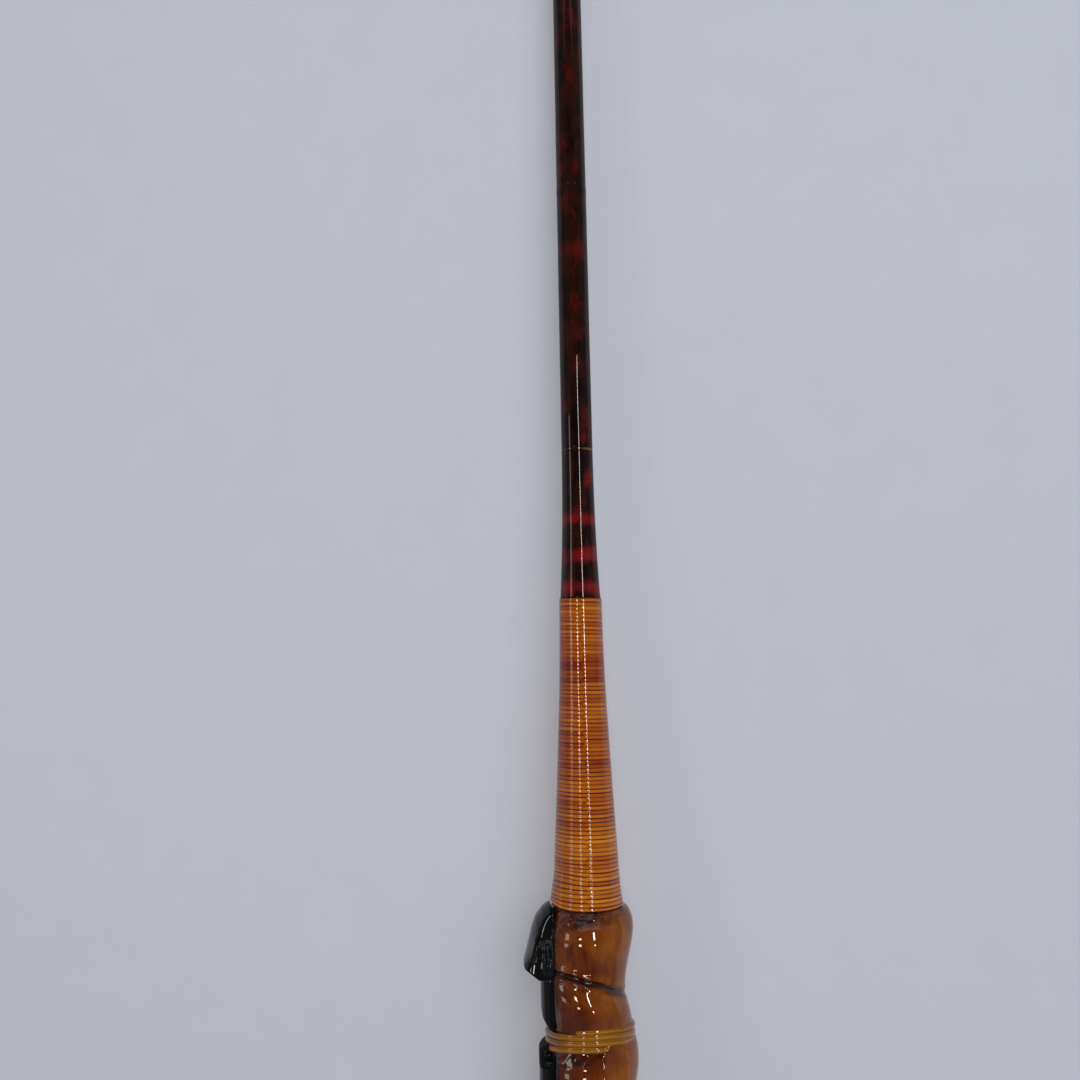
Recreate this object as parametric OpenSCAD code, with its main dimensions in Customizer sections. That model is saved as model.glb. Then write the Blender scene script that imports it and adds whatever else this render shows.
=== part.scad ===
// Butt section of a lacquered bamboo stick: a slim socketed shaft, a flared sleeve bound
// with rattan, and a bamboo-root handle with a hooded seat along one side.
// The stick lies along X. The butt face is at X = 0 and faces +X, the socket mouth faces -X,
// and the seat with its two hoods faces -Y. Heights below are measured from the butt face
// along the stick, before the stick is laid down.

/* [Shaft] */
// Length from the butt face to the socket mouth
stick_len = 650; // [620:1:700]
// Diameter at the socket mouth
tip_d = 9.6; // [9.4:0.1:10]
// Diameter where the shaft leaves the flared sleeve
shaft_d = 11; // [10.8:0.1:11.2]
// Diameter of the socket that takes the next section
socket_d = 6.6; // [5.6:0.1:6.8]
// Depth of the socket
socket_depth = 62; // [40:1:75]
// Diameter of the bamboo's own hollow
hollow_d = 5.2; // [4:0.1:5.4]
// Diameter of the shaft's tail inside the sleeve and the handle
tail_d = 9.6; // [9.4:0.1:9.8]
// Height of the shaft's tail end above the butt face
tail_end = 142.5; // [130:0.5:146]
// Length of the thread whipping at the socket mouth
whip_len = 24; // [15:1:40]
// Thickness of the thread whipping
whip_t = 0.35; // [0.25:0.05:0.4]

/* [Sleeve and winding] */
// Height of the sleeve's slim end
sleeve_top = 360; // [357:1:380]
// Width of the thin ring that closes the seam above the sleeve
ring_w = 0.8; // [0.6:0.1:1.2]
// Number of turns of rattan on the sleeve
turns = 76; // [60:1:80]
// Thickness of the rattan strand
strand_t = 0.75; // [0.65:0.05:0.8]
// Depth of the valley between two turns
valley = 0.28; // [0.15:0.01:0.35]

/* [Handle] */
// Height of the handle's shoulder, where the winding ends
shoulder = 202.2; // [202:0.1:202.4]
// Thickness of the butt cap
cap_t = 5; // [4:0.5:6]
// Diameter of the butt cap
cap_d = 29; // [27:0.5:29.5]
// Diameter of the peg on the butt cap
peg_d = 8; // [6:0.5:9]

/* [Seat] */
// Distance of the carved flat from the stick's axis
flat_y = 11.8; // [11.6:0.1:12]
// Distance of the front pad's bearing face from the stick's axis
pad_y = 16.6; // [16.4:0.1:16.8]
// Distance of the rail's bearing face from the stick's axis
rail_y = 17.5; // [17.3:0.1:17.7]
// Width of the space inside each hood
foot_w = 14; // [13:0.5:14.5]
// Height of the space inside each hood
foot_h = 4.2; // [4.2:0.1:4.4]
// Gap between the sliding hood and the rail
slide_gap = 0.3; // [0.25:0.05:0.4]
// Height of the sliding hood's mouth when it is pushed forward
rear_mouth = 138; // [136:0.5:140]
// Length of the sliding hood
rear_len = 26; // [24:0.5:27]

/* [Hidden] */

$fn = 72;
fit = 0.03;       // glue gap between pieces that are fixed together
eps = 0.01;

// Colours
LACQUER = [0.16, 0.04, 0.04];
RATTAN = [0.78, 0.42, 0.12];
PALE_RATTAN = [0.85, 0.58, 0.22];
BAMBOO = [0.55, 0.26, 0.09];
BLACK = [0.05, 0.05, 0.06];
BRASS = [0.72, 0.58, 0.3];
RAW_WOOD = [0.7, 0.52, 0.33];

// Outside of the winding: [height, radius]
WRAP = [[202.4, 12.5], [206, 11.9], [212, 11.35], [220, 10.95], [236, 10.05], [260, 8.85], [277, 8.1],
        [293, 7.65], [307, 7.5]];
wrap_bottom = WRAP[0][0];
wrap_top = WRAP[len(WRAP) - 1][0];

// Lacquered flare above the winding: [height, radius]
FLARE = [[307, 7.1], [311, 6.8], [319, 6.4], [328, 6.05], [340, 5.75], [353, 5.55]];

// Handle, from the shoulder down to the butt. At each joint of the root: its height, how far it
// climbs across the handle, which way it leans, the waist's radius and the waist's shift along Y.
ROOT = [[shoulder, 0.05, 0, 12.3, 0.4], [177.8, -0.36, 35, 14.2, -1.9], [159.6, 0.17, -63.4, 14.3, 0.4],
        [133, -0.2, 14, 14.6, -0.9], [106, 0.17, -10, 14.8, 0.6], [82, -0.16, 12, 14.9, -0.3],
        [60, 0.18, -14, 15, 0.6], [40, -0.15, 10, 15.1, -0.4], [21, 0.12, -8, 15, 0.3],
        [cap_t + fit, 0, 0, 14.2, 0]];
// How far each length of root swells between its joints
SWELL = [2.1, 0.5, 1.1, 1.5, 1.5, 1.4, 1.4, 1.2, 0.9];
root_step = 3.3;
root_sides = 44;

// Bindings: [height, climb in degrees, which way it leans, inner radius, height of the band, strands]
FRONT_BAND = [159.6, 9.6, -63.4, 13.95, 6.8, 4];
REAR_BAND = [82, -4, 0, 14.4, 6.8, 4];
band_t = 1.3;

// Seat along the handle
flat_front = shoulder + 5;
flat_rear = 72;
tongue_w = 7.4;
tongue_y = 12.8;
seat_w = 16.8;
hood_w = 19.2;
hood_wall = 1.5;
hood_rear = 179.9;
collar_y = 12.75;
collar_top = 203.6;
pad_low = 163.7;
peg_r = 1.1;
peg_at = [186, 4.4];

// T-shaped rail: the plate overhangs the neck, and the sliding hood's lips run underneath
rail_plate_w = 16;
rail_neck_w = 12;
rail_plate_t = 3.2;
rail_front = 153.6;
rail_block = 141.5;
rail_rear = 88;
screw_at = [148, 101];
screw_r = 1.2;
screw_head_r = 2.5;
screw_tip_y = 7.6;

// Tang of the front hood, under the winding
tang_w = 6;
tang_y = 7.6;
tang_top = 221;
tang_heel = 198.5;

// --- Helpers ---------------------------------------------------------------------------------

// Lays the upright stick down, with its tip towards -X
module lay() { rotate([0, -90, 0]) children(); }

// A profile drawn as [distance from the axis towards the seat, height], extruded across the seat
module across(points, width) {
    rotate([0, -90, 0])
        translate([0, 0, -width / 2])
            linear_extrude(width) polygon([for (p = points) [p[1], -p[0]]]);
}

// A cross-section drawn as [across, distance from the axis towards the seat]
module along(points, low, high) {
    translate([0, 0, low]) linear_extrude(high - low) polygon([for (p = points) [p[0], -p[1]]]);
}

// A cylinder that points at the seat, from one distance from the axis to another
module towards_seat(from, to, r1, r2) {
    translate([0, -from, 0]) rotate([90, 0, 0]) cylinder(h = to - from, r1 = r1, r2 = r2);
}

function wrap_r(z) = lookup(z, WRAP);
function sleeve_r(z) = wrap_r(z) - strand_t - fit;
// How far out the tang's flat face may lie, so that its edges stay under the winding
function tang_face(z) = sqrt(pow(sleeve_r(z), 2) - pow(tang_w / 2, 2)) - fit;

// Height of joint k of the root on the side that faces angle a
function joint_z(k, a) = ROOT[k][0] + ROOT[k][1] * ROOT[k][3] * sin(a - ROOT[k][2]);
// Which length of root holds height z on the side that faces angle a
function part_of(z, a, k = 0) =
    (k == len(SWELL) - 1 || z > joint_z(k + 1, a)) ? k : part_of(z, a, k + 1);
function ease(t) = t * t * (3 - 2 * t);
function mix(a, b, t) = a + (b - a) * ease(max(0, min(1, t)));
// Swelling between two joints, fullest near the upper one
function swell(k, t, local_len) =
    SWELL[k] * local_len / 22 * pow(sin(180 * sqrt(max(0, min(1, t)))), 2);
// How far height z lies along length k, from 0 at its upper joint to 1 at its lower joint
function along_part(k, z, a) = (joint_z(k, a) - z) / (joint_z(k, a) - joint_z(k + 1, a));
function root_r(k, z, a) =
    let (t = along_part(k, z, a))
    mix(ROOT[k][3], ROOT[k + 1][3], t) + swell(k, t, joint_z(k, a) - joint_z(k + 1, a));
function root_point(z, a) =
    let (k = part_of(z, a), r = root_r(k, z, a))
    [r * cos(a), r * sin(a) + mix(ROOT[k][4], ROOT[k + 1][4], along_part(k, z, a)), z];

// --- Shaft -----------------------------------------------------------------------------------

module shaft() color(LACQUER) lay() difference() {
    rotate_extrude() polygon([
        [0, tail_end], [tail_d / 2, tail_end], [tail_d / 2, sleeve_top], [shaft_d / 2, sleeve_top],
        [shaft_d / 2 - 0.1, sleeve_top + 60],
        [tip_d / 2 + 0.1, stick_len - whip_len - 30], [tip_d / 2, stick_len - whip_len],
        [tip_d / 2 - whip_t, stick_len - whip_len], [tip_d / 2 - whip_t, stick_len - 0.4],
        [tip_d / 2 - whip_t - 0.4, stick_len], [0, stick_len]]);
    translate([0, 0, stick_len - socket_depth]) cylinder(h = socket_depth + 1, d = socket_d);
    translate([0, 0, tail_end - 1]) cylinder(h = stick_len - tail_end, d = hollow_d);
}

// Fine thread bound round the socket mouth, which stops the bamboo from splitting
module mouth_whipping() color(LACQUER) lay() {
    low = stick_len - whip_len + fit;
    high = stick_len - 0.8;
    inner = tip_d / 2 - whip_t + fit;
    outer = tip_d / 2 + 0.05;
    rotate_extrude() polygon([
        [inner, low], [outer - 0.1, low], [outer, low + 0.6], [outer, high - 0.6],
        [outer - 0.15, high], [inner, high]]);
}

// Hardwood dowel that fills the bamboo's hollow where the handle grips it
module core_dowel() color(RAW_WOOD) lay()
    translate([0, 0, tail_end + 0.5]) cylinder(h = 85, d = hollow_d - 2 * fit);

// --- Sleeve and winding ----------------------------------------------------------------------

module taper_sleeve() color(LACQUER) lay() difference() {
    rotate_extrude() polygon(concat(
        [[tail_d / 2 + fit, shoulder + fit]],
        [for (p = WRAP) if (p[0] < FLARE[0][0]) [sleeve_r(p[0]), max(p[0], shoulder + 2 * fit)]],
        [[sleeve_r(wrap_top), wrap_top + fit]],
        [for (p = FLARE) [p[1], p[0] + 2 * fit]],
        [[shaft_d / 2, sleeve_top - ring_w - fit], [tail_d / 2 + fit, sleeve_top - ring_w - fit]]));
    // Slot for the front hood's tang
    translate([0, 0, shoulder]) across([[tang_y - fit, -1], [20, -1],
        [20, tang_top - shoulder + fit], [tang_y - fit, tang_top - shoulder + fit]], tang_w + 2 * fit);
}

module seam_ring() color(RATTAN) lay() translate([0, 0, sleeve_top - ring_w])
    difference() {
        cylinder(h = ring_w - fit, d = shaft_d + 0.12);
        translate([0, 0, -1]) cylinder(h = ring_w + 2, d = tail_d + 2 * fit);
    }

// One long strand of rattan, laid turn against turn from the flare to the shoulder
module grip_winding() color(RATTAN) lay() {
    pitch = (wrap_top - wrap_bottom) / turns;
    outside = [for (i = [0:turns - 1], f = [0, 0.3, 0.7])
        let (z = wrap_bottom + (i + f) * pitch) [wrap_r(z) - (f == 0 ? valley : 0), z]];
    inside = [for (i = [len(WRAP) - 1:-1:0]) [wrap_r(WRAP[i][0]) - strand_t, WRAP[i][0]]];
    rotate_extrude() polygon(concat(outside, [[wrap_r(wrap_top) - valley, wrap_top]], inside));
}

// --- Handle ----------------------------------------------------------------------------------

// The swelling, zigzag body of the bamboo root
module root_body() {
    low = ROOT[len(ROOT) - 1][0];
    rings = round((shoulder - low) / root_step);
    heights = [for (i = [0:rings]) low + (shoulder - low) * i / rings];
    n = root_sides;
    points = [for (z = heights, s = [0:n - 1]) root_point(z, 360 * s / n)];
    sides = [for (i = [0:rings - 1], s = [0:n - 1]) let (
        a = i * n + s, b = i * n + (s + 1) % n) each [[a, a + n, b], [b, a + n, b + n]]];
    polyhedron(concat(points, [[0, 0, low], [0, 0, shoulder]]), concat(sides,
        [for (s = [0:n - 1]) [s, (s + 1) % n, len(points)]],
        [for (s = [0:n - 1]) [rings * n + (s + 1) % n, rings * n + s, len(points) + 1]]));
}

// Ring-shaped groove that a band lies in
module band_groove(band) translate([0, 0, band[0]]) rotate([0, 0, band[2]]) rotate([band[1], 0, 0])
    difference() {
        cylinder(h = band[4] + 0.3, r = 25, center = true);
        cylinder(h = band[4] + 1, r = band[3] - fit, center = true);
    }

module handle() color(BAMBOO) lay() difference() {
    root_body();
    // Carved flat for the seat, running out behind it
    across([[flat_y, flat_front], [flat_y, flat_rear + 6], [17.5, flat_rear - 4],
            [30, flat_rear - 4], [30, flat_front]], 60);
    // Bore for the shaft's tail
    translate([0, 0, tail_end - 0.5]) cylinder(h = 80, d = tail_d + 2 * fit);
    // Hole for the butt cap's peg
    cylinder(h = cap_t + 15, d = peg_d + 2 * fit);
    // Notch for the heel of the front hood's tang
    across([[tang_y - fit, tang_heel - fit], [20, tang_heel - fit], [20, shoulder + 5],
            [tang_y - fit, shoulder + 5]], tang_w + 2 * fit);
    band_groove(FRONT_BAND);
    band_groove(REAR_BAND);
    for (side = [-1, 1]) translate([side * peg_at[1], 0, peg_at[0]])
        towards_seat(8, 20, peg_r + fit, peg_r + fit);
    for (z = screw_at) translate([0, 0, z])
        towards_seat(screw_tip_y - 0.2, 20, screw_r + fit, screw_r + fit);
}

// Turned cap with a peg, which closes the cut end of the root
module butt_cap() color(BLACK) lay() {
    r = cap_d / 2;
    edge = 2;
    rotate_extrude() polygon(concat([[0, 0]],
        [for (a = [0:15:90]) [r - edge + edge * sin(a), edge - edge * cos(a)]],
        [[r, cap_t - 0.6], [r - 0.4, cap_t], [peg_d / 2, cap_t],
         [peg_d / 2, cap_t + 13.5], [peg_d / 2 - 0.7, cap_t + 14.2], [0, cap_t + 14.2]]));
}

// --- Seat ------------------------------------------------------------------------------------

// Arched cross-section of a hood: flat sides that round over to a crowned top
function arch(width, base, top) = concat(
    [[-width / 2, base]],
    [for (a = [0:15:180]) let (c = cos(a), s = sin(a))
        [-width / 2 * sign(c) * pow(abs(c), 0.55), top - 4.6 + 4.6 * pow(s, 0.9)]],
    [[width / 2, base]]);

// Fixed hood over the front end of a foot, with a tang that the winding holds down
module front_hood() color(BLACK) lay() {
    low = hood_rear;
    lip = pad_y + foot_h + hood_wall;
    base = flat_y + fit;
    difference() {
        union() {
            intersection() {
                across([[base, low], [pad_y, low], [lip - 0.6, low + 1.1], [lip, low + 2.3],
                    [20.9, 189.5], [19.4, 195.4], [17.9, 199.2], [15.6, 202.1], [13.9, collar_top - 0.3],
                    [collar_y, collar_top], [collar_y, shoulder], [base, shoulder]], 40);
                along(arch(hood_w, base, lip), low - 1, collar_top + 1);
                // Narrows towards the winding
                rotate([90, 0, 0]) translate([0, 0, 5]) linear_extrude(30) polygon([
                    [-hood_w / 2, low], [hood_w / 2, low], [hood_w / 2, 188], [8.8, 196],
                    [6.8, shoulder], [5.6, collar_top], [-5.6, collar_top], [-6.8, shoulder],
                    [-8.8, 196], [-hood_w / 2, 188]]);
            }
            across(concat([[tang_y, tang_heel], [base + 0.5, tang_heel], [base + 0.5, shoulder - 0.5],
                [tang_face(wrap_bottom), shoulder + 0.1]],
                [for (p = WRAP) if (p[0] < tang_top) [tang_face(p[0]), p[0]]],
                [[tang_face(tang_top), tang_top], [tang_y, tang_top]]), tang_w);
        }
        // Space for the foot, lower towards its blind end
        across([[pad_y, low - 1], [30, low - 1], [30, low], [pad_y + foot_h, low],
            [pad_y + foot_h, low + 4.7], [pad_y + 2.4, low + 12.5], [pad_y, low + 12.5]], foot_w);
        for (side = [-1, 1]) translate([side * peg_at[1], 0, peg_at[0]])
            towards_seat(8, 18, peg_r + fit, peg_r + fit);
    }
}

// Two pegs that pin the front hood's floor to the handle
module hood_pegs() color(RAW_WOOD) lay()
    for (side = [-1, 1]) translate([side * peg_at[1], 0, peg_at[0]])
        towards_seat(8.2, pad_y - 0.05, peg_r, peg_r);

// Crowned saddle between the front hood and the front band
module front_pad() color(BLACK) lay() {
    base = flat_y + fit;
    low = pad_low;
    high = hood_rear - fit;
    intersection() {
        across([[base, low], [12.9, low], [14.8, low + 1.5], [16, low + 3.6], [pad_y, low + 6.6],
            [pad_y, high], [base, high]], 40);
        along(arch(seat_w, base, pad_y), low - 1, high + 1);
    }
}

// A few turns of split rattan, lying in the groove at a joint of the root
module band(data) translate([0, 0, data[0]]) rotate([0, 0, data[2]]) rotate([data[1], 0, 0]) {
    n = data[5];
    h = data[4];
    inner = data[3];
    outer = inner + band_t;
    strand = h / n;
    rotate_extrude() polygon(concat(
        [for (i = [0:n - 1], f = [0, 0.15, 0.4, 0.6, 0.85])
            [outer - (f == 0 ? 0.45 : abs(f - 0.5) > 0.3 ? 0.12 : 0), -h / 2 + (i + f) * strand]],
        [[outer - 0.45, h / 2], [inner, h / 2], [inner, -h / 2]]));
}

module front_band() color(PALE_RATTAN) lay() band(FRONT_BAND);
module rear_band() color(PALE_RATTAN) lay() band(REAR_BAND);

// Seat block and T-shaped rail in one piece, with a thin tongue under each band
module rear_rail() color(BLACK) lay() {
    base = flat_y + fit;
    tip = pad_low - 2 * fit;
    tail = REAR_BAND[0] - REAR_BAND[4] / 2;
    under = rail_y - rail_plate_t;
    difference() {
        union() {
            intersection() {
                across([[base, rail_block - 0.5], [rail_y, rail_block - 0.5],
                    [rail_y, rail_front - 3], [16.6, rail_front - 0.9], [15, rail_front],
                    [base, rail_front]], 40);
                along(arch(seat_w, base, rail_y), rail_block - 1, rail_front + 1);
            }
            along([[-rail_neck_w / 2, base], [-rail_neck_w / 2, under + eps],
                [rail_neck_w / 2, under + eps], [rail_neck_w / 2, base]], rail_rear, rail_block);
            along([[-rail_plate_w / 2, under], [-rail_plate_w / 2, rail_y - 0.8],
                [-rail_plate_w / 2 + 0.8, rail_y], [rail_plate_w / 2 - 0.8, rail_y],
                [rail_plate_w / 2, rail_y - 0.8], [rail_plate_w / 2, under]], rail_rear, rail_block);
            across([[base, tail], [tongue_y, tail], [tongue_y, tip], [base, tip]], tongue_w);
        }
        for (z = screw_at) translate([0, 0, z]) {
            towards_seat(5, 30, screw_r + fit, screw_r + fit);
            towards_seat(rail_y - screw_head_r, rail_y + 1, 0, screw_head_r + 1);
        }
    }
}

// Two slotted countersunk screws that hold the rail to the handle
module rail_screws() color(BRASS) lay()
    for (z = screw_at) translate([0, 0, z]) difference() {
        union() {
            towards_seat(screw_tip_y + 1.5, rail_y - 1.2, screw_r, screw_r);
            towards_seat(screw_tip_y, screw_tip_y + 1.5 + eps, 0.3, screw_r);
            towards_seat(rail_y - screw_head_r, rail_y - 0.15, 0, screw_head_r - 0.15);
        }
        translate([-4, -rail_y - 1, -0.3]) cube([8, 1.7, 0.6]);
    }

// Sliding hood: runs along the rail and clamps the rear end of a foot
module rear_hood() color(BLACK) lay() {
    low = rear_mouth - rear_len;
    high = rear_mouth;
    lip = rail_y + foot_h + hood_wall;
    base = flat_y + slide_gap;
    under = rail_y - rail_plate_t;
    plate = rail_plate_w + 2 * slide_gap;
    neck = rail_neck_w + 2 * slide_gap;
    difference() {
        intersection() {
            across([[base, low], [base, high], [rail_y, high], [lip - 0.6, high - 1.1],
                [lip, high - 2.3], [lip - 1.4, high - 13.5], [lip - 2.9, high - 19.4],
                [lip - 4, low + 1.5], [rail_y, low]], 40);
            along(arch(hood_w + 0.6, base, lip), low - 1, high + 1);
        }
        // Channel for the rail's plate and neck
        along([[-neck / 2, base - 1], [-neck / 2, under - slide_gap],
            [-plate / 2, under - slide_gap], [-plate / 2, rail_y + slide_gap],
            [plate / 2, rail_y + slide_gap], [plate / 2, under - slide_gap],
            [neck / 2, under - slide_gap], [neck / 2, base - 1]], low - 1, high + 1);
        // Space for the foot, lower towards its blind end
        across([[rail_y - 1, high + 1], [30, high + 1], [30, high], [rail_y + foot_h, high],
            [rail_y + foot_h, high - 4.7], [rail_y + 2.4, high - 12.5], [rail_y - 1, high - 12.5]],
            foot_w);
    }
}

shaft();
mouth_whipping();
core_dowel();
taper_sleeve();
seam_ring();
grip_winding();
handle();
front_hood();
hood_pegs();
front_pad();
front_band();
rear_rail();
rail_screws();
rear_hood();
rear_band();
butt_cap();
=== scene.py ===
import math
import random

import bmesh
import bpy
from mathutils import Matrix, Vector, noise


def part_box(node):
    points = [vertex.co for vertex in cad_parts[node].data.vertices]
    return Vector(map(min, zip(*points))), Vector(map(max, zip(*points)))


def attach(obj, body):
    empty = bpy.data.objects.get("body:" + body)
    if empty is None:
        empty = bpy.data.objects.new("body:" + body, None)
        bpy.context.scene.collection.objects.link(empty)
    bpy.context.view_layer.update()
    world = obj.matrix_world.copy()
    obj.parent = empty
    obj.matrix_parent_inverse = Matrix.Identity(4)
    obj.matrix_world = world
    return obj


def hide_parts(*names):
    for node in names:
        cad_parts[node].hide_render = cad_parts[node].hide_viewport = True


# A lacquered bamboo stick lying along X: socket mouth towards -X, butt at X = 0, seat towards -Y.
# In the mesh code a place on the stick is (height above the butt, angle, radius) in millimetres
# and degrees. Angle 0 faces up (+Z), 90 faces +Y, and -90 faces the seat.

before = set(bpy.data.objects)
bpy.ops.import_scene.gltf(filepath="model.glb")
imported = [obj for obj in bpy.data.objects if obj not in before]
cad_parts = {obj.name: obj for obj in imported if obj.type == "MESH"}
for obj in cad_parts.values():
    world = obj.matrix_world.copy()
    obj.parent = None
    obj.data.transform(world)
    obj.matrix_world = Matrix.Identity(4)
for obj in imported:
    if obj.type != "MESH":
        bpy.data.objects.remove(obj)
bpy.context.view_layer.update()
scene = bpy.context.scene

MM = 0.001
STICK = "stick"
HOOD = "sliding_hood"
SEAT_ANGLE = -90


# --- Sizes, which repeat those of the CAD model --------------------------------------------------

STICK_LEN = 650
TIP_R = 4.8
SHAFT_R = 5.5
TAIL_R = 4.8
TAIL_END = 142.5
SOCKET_R = 3.3
SOCKET_DEPTH = 62
HOLLOW_R = 2.6
WHIP_LEN = 24
WHIP_T = 0.35
SLEEVE_TOP = 360
SEAM_W = 0.8
TURNS = 76
STRAND_T = 0.75
SHOULDER = 202.2
CAP_T = 5
PEG_R = 4
FLAT_Y = 11.8
FLAT_REAR = 72
FIT = 0.03  # glue gap between pieces that are fixed together
WRAP = [(202.4, 12.5), (206, 11.9), (212, 11.35), (220, 10.95), (236, 10.05), (260, 8.85), (277, 8.1),
        (293, 7.65), (307, 7.5)]
FLARE = [(307, 7.1), (311, 6.8), (319, 6.4), (328, 6.05), (340, 5.75), (353, 5.55)]
# Joints of the root: height, climb, lean, waist radius, waist shift along Y
ROOT = [(202.2, 0.05, 0, 12.3, 0.4), (177.8, -0.36, 35, 14.2, -1.9), (159.6, 0.17, -63.4, 14.3, 0.4),
        (133, -0.2, 14, 14.6, -0.9), (106, 0.17, -10, 14.8, 0.6), (82, -0.16, 12, 14.9, -0.3),
        (60, 0.18, -14, 15, 0.6), (40, -0.15, 10, 15.1, -0.4), (21, 0.12, -8, 15, 0.3),
        (5.03, 0, 0, 14.2, 0)]
SWELL = [2.1, 0.5, 1.1, 1.5, 1.5, 1.4, 1.4, 1.2, 0.9]
# Bands: height, climb, lean, inner radius
FRONT_BAND = (159.6, 0.17, -63.4, 13.95)
REAR_BAND = (82, -0.07, 0, 14.4)
STRAND_W = 2.15
# How much more the front band bows towards the tip on the side that faces up
BAND_BOW = 0.5
BAND_T = 1.3


# --- Small helpers -------------------------------------------------------------------------------

def at(height, angle, radius, shift=0.0):
    a = math.radians(angle)
    return Vector((-height, radius * math.sin(a) + shift, radius * math.cos(a))) * MM


def bell(x, width):
    return math.exp(-(x / width) ** 2)


def ease(t):
    t = max(0.0, min(1.0, t))
    return t * t * (3 - 2 * t)


def mix(a, b, t):
    return a + (b - a) * t


def turn_from(angle, start):
    """Signed turn in degrees from one angle to another, the short way round."""
    return (angle - start + 180) % 360 - 180


def arc(turn, radius):
    return turn * math.pi / 180 * radius


def smooth_line(points):
    """A smooth curve through (x, y) points, as a function."""
    slopes = []
    for i in range(len(points)):
        a, b = points[max(i - 1, 0)], points[min(i + 1, len(points) - 1)]
        slopes.append((b[1] - a[1]) / (b[0] - a[0]))

    def value(x):
        if x <= points[0][0]:
            return points[0][1]
        for i in range(len(points) - 1):
            (x0, y0), (x1, y1) = points[i], points[i + 1]
            if x <= x1:
                w = x1 - x0
                t = (x - x0) / w
                return ((2 * t ** 3 - 3 * t ** 2 + 1) * y0 + (t ** 3 - 2 * t ** 2 + t) * w * slopes[i]
                        + (-2 * t ** 3 + 3 * t ** 2) * y1 + (t ** 3 - t ** 2) * w * slopes[i + 1])
        return points[-1][1]
    return value


def ripple(height, angle, grain, seed=0.0):
    """Even noise on the stick's surface, with features of about grain millimetres."""
    a = math.radians(angle)
    reach = 12 / grain
    return noise.noise(Vector((height / grain + seed, reach * math.cos(a), reach * math.sin(a) + seed)))


def make_object(name, vertices, faces, body=STICK):
    mesh = bpy.data.meshes.new(name)
    mesh.from_pydata(vertices, [], faces)
    work = bmesh.new()
    work.from_mesh(mesh)
    bmesh.ops.recalc_face_normals(work, faces=work.faces)
    work.to_mesh(mesh)
    work.free()
    mesh.shade_smooth()
    piece = bpy.data.objects.new(name, mesh)
    scene.collection.objects.link(piece)
    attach(piece, body)
    return piece


def ring_faces(count, sides, loop):
    faces = []
    for i in range(count if loop else count - 1):
        j = (i + 1) % count
        for s in range(sides):
            t = (s + 1) % sides
            faces.append((i * sides + s, i * sides + t, j * sides + t, j * sides + s))
    return faces


def rings_object(name, rings, loop=True, body=STICK):
    """One closed surface from rings of equal length. Without loop, the two ends are capped."""
    sides = len(rings[0])
    vertices = [p for ring in rings for p in ring]
    faces = ring_faces(len(rings), sides, loop)
    if not loop:
        faces.append(tuple(range(sides)))
        faces.append(tuple(range(len(vertices) - sides, len(vertices))))
    return make_object(name, vertices, faces, body)


def paint(piece, name, values):
    """Stores one number per vertex for the materials."""
    layer = piece.data.attributes.new(name, "FLOAT", "POINT")
    layer.data.foreach_set("value", values)


def angles(sides):
    return [360 * s / sides for s in range(sides)]


def turned_rings(profile, sides):
    """Round rings for a profile of (height, radius) points."""
    return [[at(h, a, r) for a in angles(sides)] for h, r in profile]


def steps(low, high, step):
    count = max(1, round((high - low) / step))
    return [low + (high - low) * i / count for i in range(count + 1)]


# --- Materials -----------------------------------------------------------------------------------

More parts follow.
